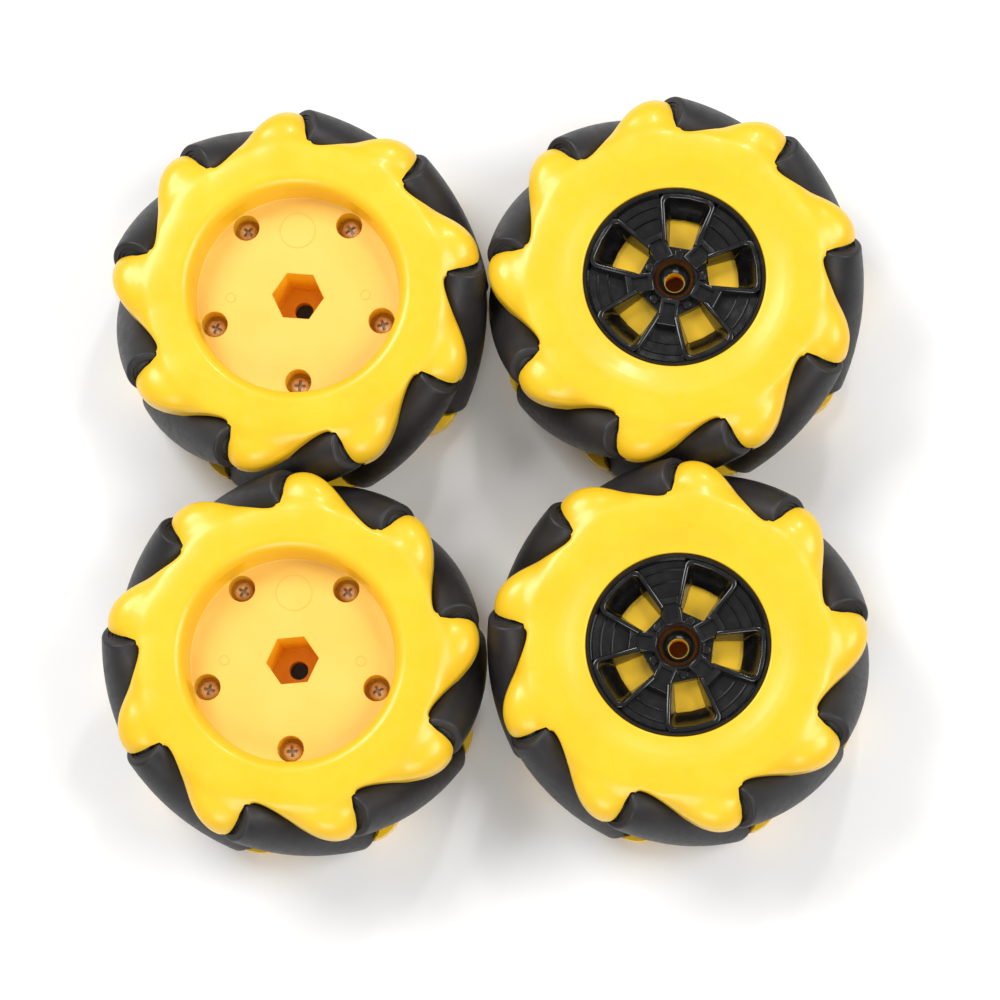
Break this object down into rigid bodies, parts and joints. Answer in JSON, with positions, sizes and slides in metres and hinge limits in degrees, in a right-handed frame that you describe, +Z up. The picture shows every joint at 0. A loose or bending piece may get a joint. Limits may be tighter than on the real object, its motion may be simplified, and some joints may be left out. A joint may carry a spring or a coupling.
{
  "type": "mecanum wheel set",
  "caption": "Set of mecanum wheels, two of each hand, each with skewed barrel rollers between two lobed plates and a hexagonal motor socket.",
  "frame": {"origin": "on the table, under the middle of the set's outer box", "axes": "+Z up, along all four wheels' axles; wheel A and B are behind (+Y), B and D are on the right (+X)"},
  "size_m": [0.2008, 0.2006, 0.042],
  "materials": {
    "yellow_plastic": "glossy moulded plastic",
    "black_plastic": "polished black moulding",
    "roller_rubber": "fine matte moulded rubber",
    "brassy_screw": "coppery passivated steel",
    "axle_steel": "drawn steel pin"
  },
  "bodies": {
    "wheel_a": {"wheel_a_hub_plate": "yellow_plastic", "wheel_a_rim_plate": "yellow_plastic", "wheel_a_hub_cap": "black_plastic", "wheel_a_screw_1": "brassy_screw", "wheel_a_screw_2": "brassy_screw", "wheel_a_screw_3": "brassy_screw", "wheel_a_screw_4": "brassy_screw", "wheel_a_screw_5": "brassy_screw"},
    "wheel_a_roller_1": {"wheel_a_roller_1": "roller_rubber"},
    "wheel_a_roller_2": {"wheel_a_roller_2": "roller_rubber"},
    "wheel_a_roller_3": {"wheel_a_roller_3": "roller_rubber"},
    "wheel_a_roller_4": {"wheel_a_roller_4": "roller_rubber"},
    "wheel_a_roller_5": {"wheel_a_roller_5": "roller_rubber"},
    "wheel_a_roller_6": {"wheel_a_roller_6": "roller_rubber"},
    "wheel_a_roller_7": {"wheel_a_roller_7": "roller_rubber"},
    "wheel_a_roller_8": {"wheel_a_roller_8": "roller_rubber"},
    "wheel_a_roller_9": {"wheel_a_roller_9": "roller_rubber"},
    "wheel_b": {"wheel_b_hub_plate": "yellow_plastic", "wheel_b_rim_plate": "yellow_plastic", "wheel_b_hub_cap": "black_plastic"},
    "wheel_b_roller_1": {"wheel_b_roller_1": "roller_rubber"},
    "wheel_b_roller_2": {"wheel_b_roller_2": "roller_rubber"},
    "wheel_b_roller_3": {"wheel_b_roller_3": "roller_rubber"},
    "wheel_b_roller_4": {"wheel_b_roller_4": "roller_rubber"},
    "wheel_b_roller_5": {"wheel_b_roller_5": "roller_rubber"},
    "wheel_b_roller_6": {"wheel_b_roller_6": "roller_rubber"},
    "wheel_b_roller_7": {"wheel_b_roller_7": "roller_rubber"},
    "wheel_b_roller_8": {"wheel_b_roller_8": "roller_rubber"},
    "wheel_b_roller_9": {"wheel_b_roller_9": "roller_rubber"},
    "wheel_c": {"wheel_c_hub_plate": "yellow_plastic", "wheel_c_rim_plate": "yellow_plastic", "wheel_c_hub_cap": "black_plastic", "wheel_c_screw_1": "brassy_screw", "wheel_c_screw_2": "brassy_screw", "wheel_c_screw_3": "brassy_screw", "wheel_c_screw_4": "brassy_screw", "wheel_c_screw_5": "brassy_screw"},
    "wheel_c_roller_1": {"wheel_c_roller_1": "roller_rubber"},
    "wheel_c_roller_2": {"wheel_c_roller_2": "roller_rubber"},
    "wheel_c_roller_3": {"wheel_c_roller_3": "roller_rubber"},
    "wheel_c_roller_4": {"wheel_c_roller_4": "roller_rubber"},
    "wheel_c_roller_5": {"wheel_c_roller_5": "roller_rubber"},
    "wheel_c_roller_6": {"wheel_c_roller_6": "roller_rubber"},
    "wheel_c_roller_7": {"wheel_c_roller_7": "roller_rubber"},
    "wheel_c_roller_8": {"wheel_c_roller_8": "roller_rubber"},
    "wheel_c_roller_9": {"wheel_c_roller_9": "roller_rubber"},
    "wheel_d": {"wheel_d_hub_plate": "yellow_plastic", "wheel_d_rim_plate": "yellow_plastic", "wheel_d_hub_cap": "black_plastic"},
    "wheel_d_roller_1": {"wheel_d_roller_1": "roller_rubber"},
    "wheel_d_roller_2": {"wheel_d_roller_2": "roller_rubber"},
    "wheel_d_roller_3": {"wheel_d_roller_3": "roller_rubber"},
    "wheel_d_roller_4": {"wheel_d_roller_4": "roller_rubber"},
    "wheel_d_roller_5": {"wheel_d_roller_5": "roller_rubber"},
    "wheel_d_roller_6": {"wheel_d_roller_6": "roller_rubber"},
    "wheel_d_roller_7": {"wheel_d_roller_7": "roller_rubber"},
    "wheel_d_roller_8": {"wheel_d_roller_8": "roller_rubber"},
    "wheel_d_roller_9": {"wheel_d_roller_9": "roller_rubber"}
  },
  "joints": [
    {"name": "wheel_b_slide", "type": "slide", "parent": "wheel_a", "child": "wheel_b", "axis": [0, 1, 0], "range_m": [0, 0.06]},
    {"name": "wheel_c_slide", "type": "slide", "parent": "wheel_a", "child": "wheel_c", "axis": [0, -1, 0], "range_m": [0, 0.06]},
    {"name": "wheel_d_slide", "type": "slide", "parent": "wheel_a", "child": "wheel_d", "axis": [0, -1, 0], "range_m": [0, 0.06]},
    {"name": "wheel_a_roller_1_spin", "type": "hinge", "parent": "wheel_a", "child": "wheel_a_roller_1", "pos_m": [-0.06394, 0.0863, 0.021], "axis": [-0.6686, -0.2302, 0.7071], "continuous": true},
    {"name": "wheel_a_roller_2_spin", "type": "hinge", "parent": "wheel_a", "child": "wheel_a_roller_2", "pos_m": [-0.08595, 0.06848, 0.021], "axis": [-0.3642, -0.6061, 0.7071], "continuous": true},
    {"name": "wheel_a_roller_3_spin", "type": "hinge", "parent": "wheel_a", "child": "wheel_a_roller_3", "pos_m": [-0.09135, 0.04068, 0.021], "axis": [0.1106, -0.6984, 0.7071], "continuous": true},
    {"name": "wheel_a_roller_4_spin", "type": "hinge", "parent": "wheel_a", "child": "wheel_a_roller_4", "pos_m": [-0.07762, 0.01591, 0.021], "axis": [0.5337, -0.4639, 0.7071], "continuous": true},
    {"name": "wheel_a_roller_5_spin", "type": "hinge", "parent": "wheel_a", "child": "wheel_a_roller_5", "pos_m": [-0.05118, 0.00576, 0.021], "axis": [0.707, -0.0123, 0.7071], "continuous": true},
    {"name": "wheel_a_roller_6_spin", "type": "hinge", "parent": "wheel_a", "child": "wheel_a_roller_6", "pos_m": [-0.0244, 0.01498, 0.021], "axis": [0.5495, 0.445, 0.7071], "continuous": true},
    {"name": "wheel_a_roller_7_spin", "type": "hinge", "parent": "wheel_a", "child": "wheel_a_roller_7", "pos_m": [-0.00982, 0.03926, 0.021], "axis": [0.1349, 0.6941, 0.7071], "continuous": true},
    {"name": "wheel_a_roller_8_spin", "type": "hinge", "parent": "wheel_a", "child": "wheel_a_roller_8", "pos_m": [-0.01425, 0.06723, 0.021], "axis": [-0.3428, 0.6184, 0.7071], "continuous": true},
    {"name": "wheel_a_roller_9_spin", "type": "hinge", "parent": "wheel_a", "child": "wheel_a_roller_9", "pos_m": [-0.03562, 0.08581, 0.021], "axis": [-0.6601, 0.2534, 0.7071], "continuous": true},
    {"name": "wheel_b_roller_1_spin", "type": "hinge", "parent": "wheel_b", "child": "wheel_b_roller_1", "pos_m": [0.08439, 0.07213, 0.021], "axis": [-0.3737, 0.6003, 0.7071], "continuous": true},
    {"name": "wheel_b_roller_2_spin", "type": "hinge", "parent": "wheel_b", "child": "wheel_b_roller_2", "pos_m": [0.09023, 0.04442, 0.021], "axis": [0.0996, 0.7001, 0.7071], "continuous": true},
    {"name": "wheel_b_roller_3_spin", "type": "hinge", "parent": "wheel_b", "child": "wheel_b_roller_3", "pos_m": [0.07689, 0.01944, 0.021], "axis": [0.5263, 0.4722, 0.7071], "continuous": true},
    {"name": "wheel_b_roller_4_spin", "type": "hinge", "parent": "wheel_b", "child": "wheel_b_roller_4", "pos_m": [0.05061, 0.00888, 0.021], "axis": [0.7067, 0.0234, 0.7071], "continuous": true},
    {"name": "wheel_b_roller_5_spin", "type": "hinge", "parent": "wheel_b", "child": "wheel_b_roller_5", "pos_m": [0.0237, 0.01768, 0.021], "axis": [0.5564, -0.4363, 0.7071], "continuous": true},
    {"name": "wheel_b_roller_6_spin", "type": "hinge", "parent": "wheel_b", "child": "wheel_b_roller_6", "pos_m": [0.00873, 0.04172, 0.021], "axis": [0.1458, -0.6919, 0.7071], "continuous": true},
    {"name": "wheel_b_roller_7_spin", "type": "hinge", "parent": "wheel_b", "child": "wheel_b_roller_7", "pos_m": [0.01272, 0.06976, 0.021], "axis": [-0.3331, -0.6238, 0.7071], "continuous": true},
    {"name": "wheel_b_roller_8_spin", "type": "hinge", "parent": "wheel_b", "child": "wheel_b_roller_8", "pos_m": [0.0338, 0.08867, 0.021], "axis": [-0.6561, -0.2637, 0.7071], "continuous": true},
    {"name": "wheel_b_roller_9_spin", "type": "hinge", "parent": "wheel_b", "child": "wheel_b_roller_9", "pos_m": [0.0621, 0.08961, 0.021], "axis": [-0.6721, 0.2197, 0.7071], "continuous": true},
    {"name": "wheel_c_roller_1_spin", "type": "hinge", "parent": "wheel_c", "child": "wheel_c_roller_1", "pos_m": [-0.0374, -0.01099, 0.021], "axis": [0.6721, -0.2197, 0.7071], "continuous": true},
    {"name": "wheel_c_roller_2_spin", "type": "hinge", "parent": "wheel_c", "child": "wheel_c_roller_2", "pos_m": [-0.01511, -0.02847, 0.021], "axis": [0.3737, -0.6003, 0.7071], "continuous": true},
    {"name": "wheel_c_roller_3_spin", "type": "hinge", "parent": "wheel_c", "child": "wheel_c_roller_3", "pos_m": [-0.00927, -0.05618, 0.021], "axis": [-0.0996, -0.7001, 0.7071], "continuous": true},
    {"name": "wheel_c_roller_4_spin", "type": "hinge", "parent": "wheel_c", "child": "wheel_c_roller_4", "pos_m": [-0.02261, -0.08116, 0.021], "axis": [-0.5263, -0.4722, 0.7071], "continuous": true},
    {"name": "wheel_c_roller_5_spin", "type": "hinge", "parent": "wheel_c", "child": "wheel_c_roller_5", "pos_m": [-0.04889, -0.09172, 0.021], "axis": [-0.7067, -0.0234, 0.7071], "continuous": true},
    {"name": "wheel_c_roller_6_spin", "type": "hinge", "parent": "wheel_c", "child": "wheel_c_roller_6", "pos_m": [-0.0758, -0.08292, 0.021], "axis": [-0.5564, 0.4363, 0.7071], "continuous": true},
    {"name": "wheel_c_roller_7_spin", "type": "hinge", "parent": "wheel_c", "child": "wheel_c_roller_7", "pos_m": [-0.09077, -0.05888, 0.021], "axis": [-0.1458, 0.6919, 0.7071], "continuous": true},
    {"name": "wheel_c_roller_8_spin", "type": "hinge", "parent": "wheel_c", "child": "wheel_c_roller_8", "pos_m": [-0.08678, -0.03084, 0.021], "axis": [0.3331, 0.6238, 0.7071], "continuous": true},
    {"name": "wheel_c_roller_9_spin", "type": "hinge", "parent": "wheel_c", "child": "wheel_c_roller_9", "pos_m": [-0.0657, -0.01193, 0.021], "axis": [0.6561, 0.2637, 0.7071], "continuous": true},
    {"name": "wheel_d_roller_1_spin", "type": "hinge", "parent": "wheel_d", "child": "wheel_d_roller_1", "pos_m": [0.09121, -0.05443, 0.021], "axis": [-0.1228, -0.6964, 0.7071], "continuous": true},
    {"name": "wheel_d_roller_2_spin", "type": "hinge", "parent": "wheel_d", "child": "wheel_d_roller_2", "pos_m": [0.08629, -0.02654, 0.021], "axis": [0.3536, -0.6124, 0.7071], "continuous": true},
    {"name": "wheel_d_roller_3_spin", "type": "hinge", "parent": "wheel_d", "child": "wheel_d_roller_3", "pos_m": [0.0646, -0.00834, 0.021], "axis": [0.6645, -0.2418, 0.7071], "continuous": true},
    {"name": "wheel_d_roller_4_spin", "type": "hinge", "parent": "wheel_d", "child": "wheel_d_roller_4", "pos_m": [0.03628, -0.00834, 0.021], "axis": [0.6645, 0.2418, 0.7071], "continuous": true},
    {"name": "wheel_d_roller_5_spin", "type": "hinge", "parent": "wheel_d", "child": "wheel_d_roller_5", "pos_m": [0.01459, -0.02654, 0.021], "axis": [0.3536, 0.6124, 0.7071], "continuous": true},
    {"name": "wheel_d_roller_6_spin", "type": "hinge", "parent": "wheel_d", "child": "wheel_d_roller_6", "pos_m": [0.00967, -0.05443, 0.021], "axis": [-0.1228, 0.6964, 0.7071], "continuous": true},
    {"name": "wheel_d_roller_7_spin", "type": "hinge", "parent": "wheel_d", "child": "wheel_d_roller_7", "pos_m": [0.02383, -0.07896, 0.021], "axis": [-0.5417, 0.4545, 0.7071], "continuous": true},
    {"name": "wheel_d_roller_8_spin", "type": "hinge", "parent": "wheel_d", "child": "wheel_d_roller_8", "pos_m": [0.05044, -0.08864, 0.021], "axis": [-0.7071, 0, 0.7071], "continuous": true},
    {"name": "wheel_d_roller_9_spin", "type": "hinge", "parent": "wheel_d", "child": "wheel_d_roller_9", "pos_m": [0.07705, -0.07896, 0.021], "axis": [-0.5417, -0.4545, 0.7071], "continuous": true}
  ]
}
